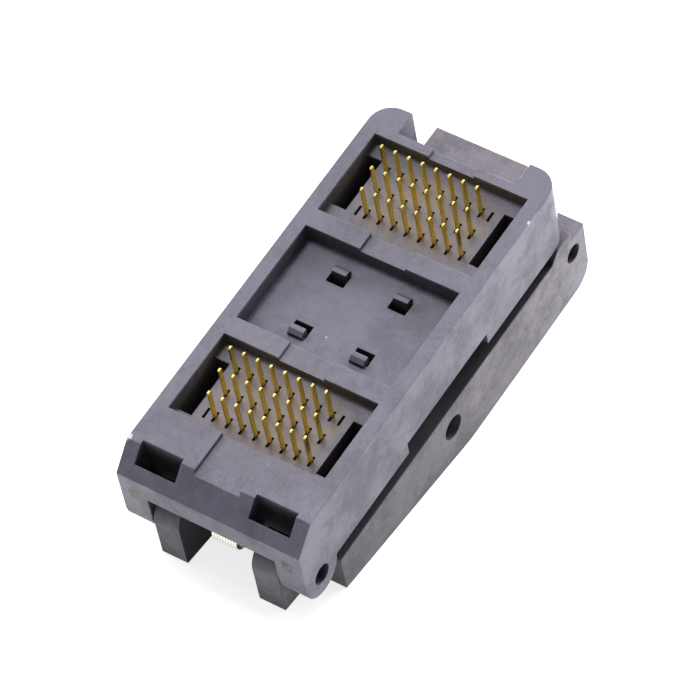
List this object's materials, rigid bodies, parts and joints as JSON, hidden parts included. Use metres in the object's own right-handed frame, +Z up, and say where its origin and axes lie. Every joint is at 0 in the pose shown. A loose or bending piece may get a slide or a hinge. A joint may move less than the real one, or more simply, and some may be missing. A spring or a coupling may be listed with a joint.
{
  "type": "burn-in chip socket",
  "caption": "Latched clamshell socket for a thin outline chip, with a floating nest, stamped spring contacts, a tilting pusher and a hinged lid, lying on its closed lid.",
  "frame": {"origin": "centre of the field of contact tails, in the plane where the base meets the board", "axes": "+X towards the hinge, +Y across the socket, +Z up from the bench it lies on; the board plane is tilted by 8.76 degrees about Y, because the closed socket lies on the sloped part of its lid with its tails up"},
  "size_m": [0.0494, 0.0204, 0.0219],
  "materials": {
    "base_plastic": "satin dark grey moulded plastic, filled with glass fibre",
    "nest_plastic": "satin dark grey moulded plastic",
    "lid_plastic": "matt dark grey moulded plastic with light scuffs",
    "pusher_plastic": "satin dark grey moulded plastic",
    "latch_plastic": "matt dark grey moulded plastic",
    "pin_steel": "ground stainless steel",
    "spring_steel": "bright drawn spring wire",
    "contact_gold": "beryllium copper plated with gold over nickel"
  },
  "bodies": {
    "base": {"base": "base_plastic", "hinge_pin": "pin_steel", "hinge_spring": "spring_steel", "nest_springs": "spring_steel", "contact_01": "contact_gold", "contact_02": "contact_gold", "contact_03": "contact_gold", "contact_04": "contact_gold", "contact_05": "contact_gold", "contact_06": "contact_gold", "contact_07": "contact_gold", "contact_08": "contact_gold", "contact_09": "contact_gold", "contact_10": "contact_gold", "contact_11": "contact_gold", "contact_12": "contact_gold", "contact_13": "contact_gold", "contact_14": "contact_gold", "contact_15": "contact_gold", "contact_16": "contact_gold", "contact_17": "contact_gold", "contact_18": "contact_gold", "contact_19": "contact_gold", "contact_20": "contact_gold", "contact_21": "contact_gold", "contact_22": "contact_gold", "contact_23": "contact_gold", "contact_24": "contact_gold", "contact_25": "contact_gold", "contact_26": "contact_gold", "contact_27": "contact_gold", "contact_28": "contact_gold", "contact_29": "contact_gold", "contact_30": "contact_gold", "contact_31": "contact_gold", "contact_32": "contact_gold", "contact_33": "contact_gold", "contact_34": "contact_gold", "contact_35": "contact_gold", "contact_36": "contact_gold", "contact_37": "contact_gold", "contact_38": "contact_gold", "contact_39": "contact_gold", "contact_40": "contact_gold", "contact_41": "contact_gold", "contact_42": "contact_gold", "contact_43": "contact_gold", "contact_44": "contact_gold", "contact_45": "contact_gold", "contact_46": "contact_gold", "contact_47": "contact_gold", "contact_48": "contact_gold"},
    "nest": {"nest": "nest_plastic"},
    "lid": {"lid": "lid_plastic", "pusher_pin": "pin_steel", "latch_pin": "pin_steel", "latch_spring": "spring_steel"},
    "pusher": {"pusher": "pusher_plastic"},
    "latch": {"latch": "latch_plastic"}
  },
  "joints": [
    {"name": "lid_hinge", "type": "hinge", "parent": "base", "child": "lid", "pos_m": [0.02037, 0, -0.01159], "axis": [0, -1, 0], "range_deg": [0, 105]},
    {"name": "latch_release", "type": "hinge", "parent": "lid", "child": "latch", "pos_m": [-0.02302, 0, -0.00824], "axis": [0, -1, 0], "range_deg": [0, 12], "stiffness_Nm_per_rad": 0.006, "springref_deg": -17.19, "deforming": ["latch_spring"]},
    {"name": "pusher_tilt", "type": "hinge", "parent": "lid", "child": "pusher", "pos_m": [-0.00152, 0, -0.01247], "axis": [0, -1, 0], "range_deg": [-2, 2]},
    {"name": "nest_float", "type": "slide", "parent": "base", "child": "nest", "axis": [0.1522, 0, 0.9883], "range_m": [0, 0.0004], "stiffness_N_per_m": 600, "springref_m": -0.0005, "deforming": ["nest_springs"]}
  ]
}
